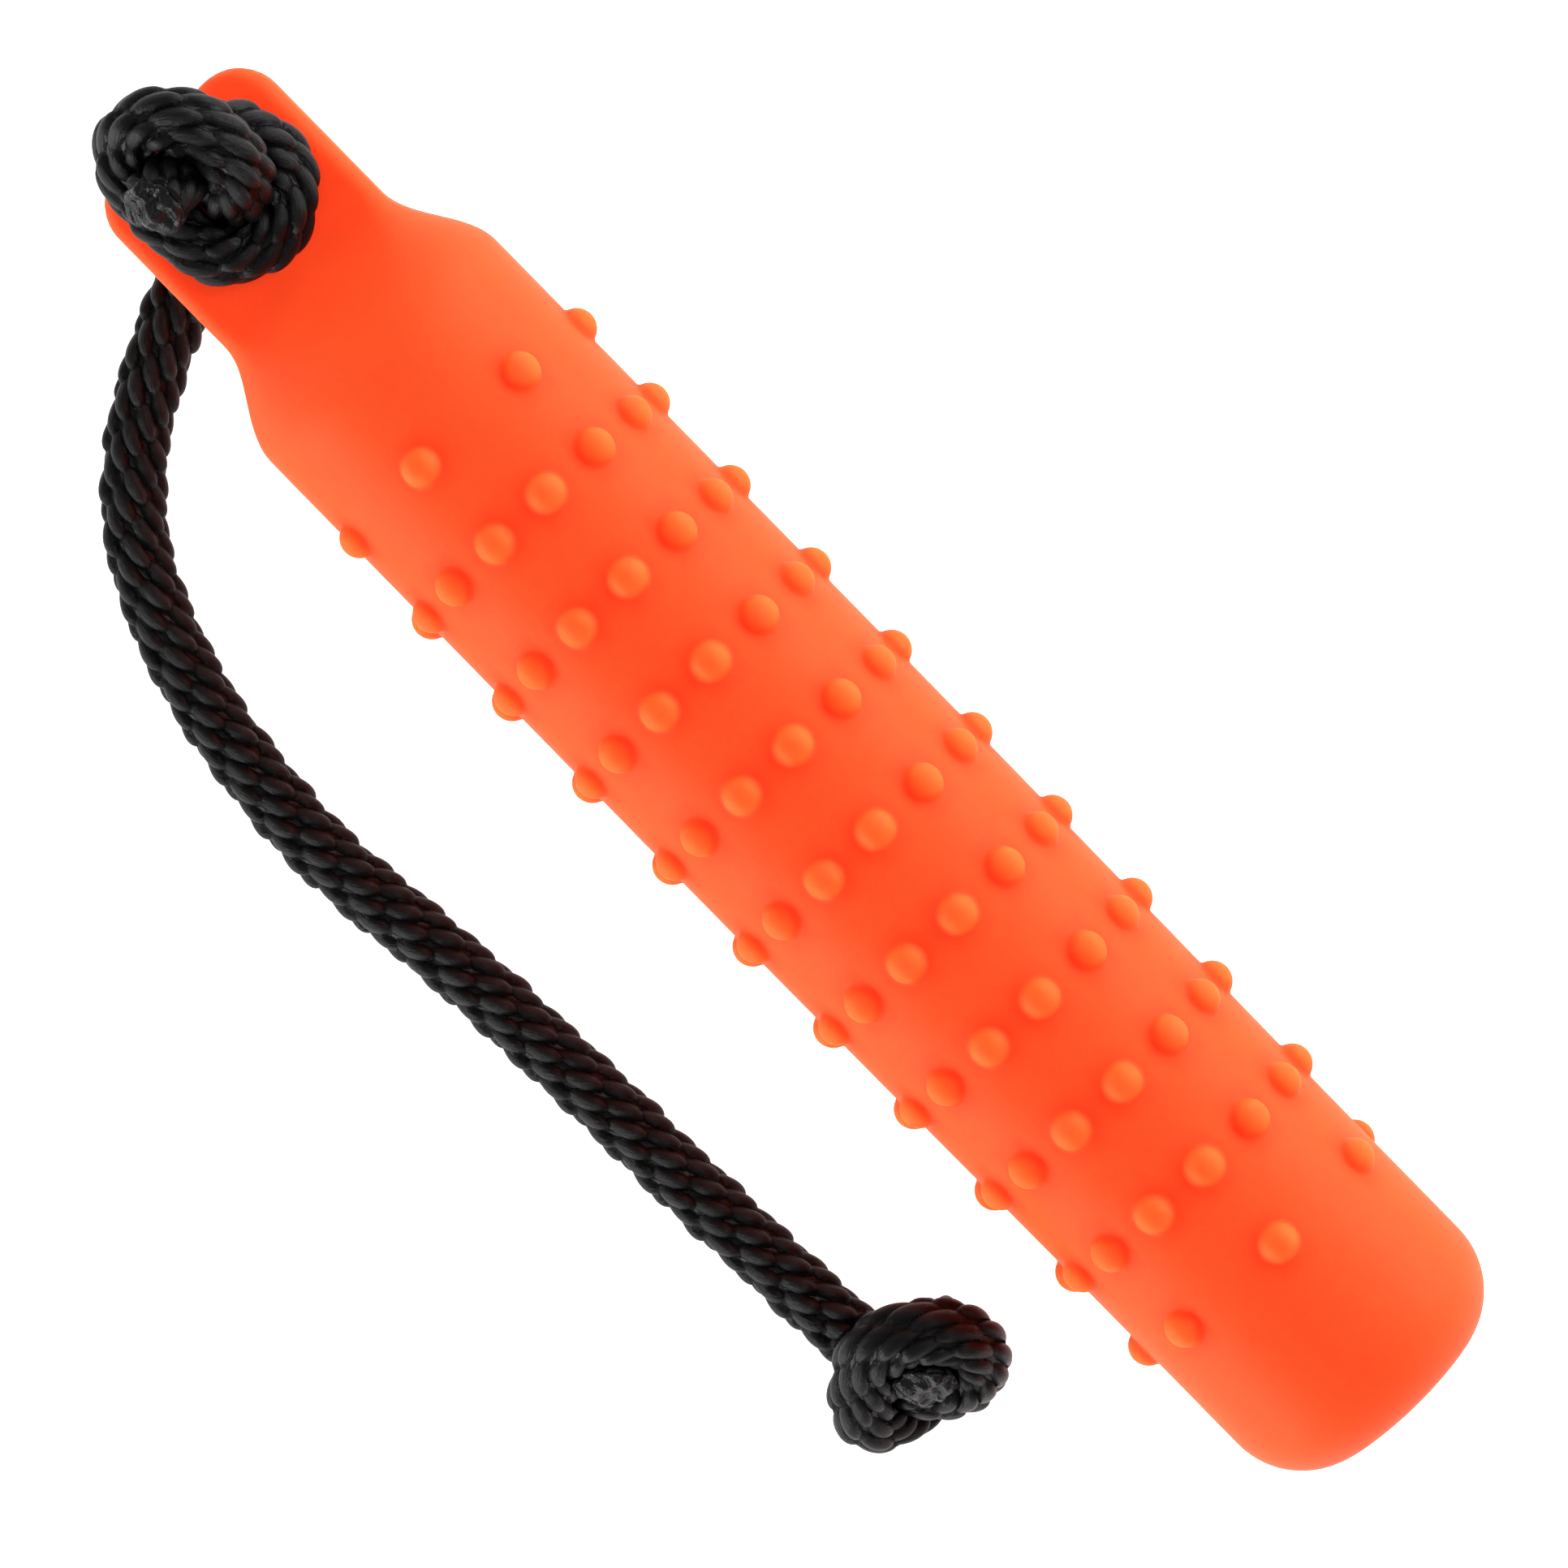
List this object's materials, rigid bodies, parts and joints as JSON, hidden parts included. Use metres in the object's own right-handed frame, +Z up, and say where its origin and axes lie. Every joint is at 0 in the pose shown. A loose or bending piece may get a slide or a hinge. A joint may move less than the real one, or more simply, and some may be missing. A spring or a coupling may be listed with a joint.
{
  "type": "dog training bumper",
  "caption": "Hollow knobby retrieving bumper in soft orange vinyl, with a flat tab and a knotted braided rope for throwing it.",
  "frame": {"origin": "on the floor under the middle of the moulded body, which rests on two rows of its nubs", "axes": "+X along the body from the tab to the plain end, +Z up, the rope lies on the -Y side"},
  "size_m": [0.2915, 0.1018, 0.0583],
  "materials": {
    "vinyl": "soft satin, moulded",
    "valve_rubber": "matte",
    "rope": "braided filament, slight sheen",
    "melted_rope": "glossy, melted"
  },
  "bodies": {
    "bumper": {"body_shell": "vinyl", "air_valve": "valve_rubber"},
    "throw_line": {"throw_rope": "rope", "tab_knot": "rope", "hand_knot": "rope", "tab_end_seal": "melted_rope", "hand_end_seal": "melted_rope"}
  },
  "joints": [
    {"name": "rope_swing", "type": "hinge", "parent": "bumper", "child": "throw_line", "pos_m": [-0.1295, 0, 0.02748], "axis": [0, 0, 1], "range_deg": [-240, 2.5]}
  ]
}
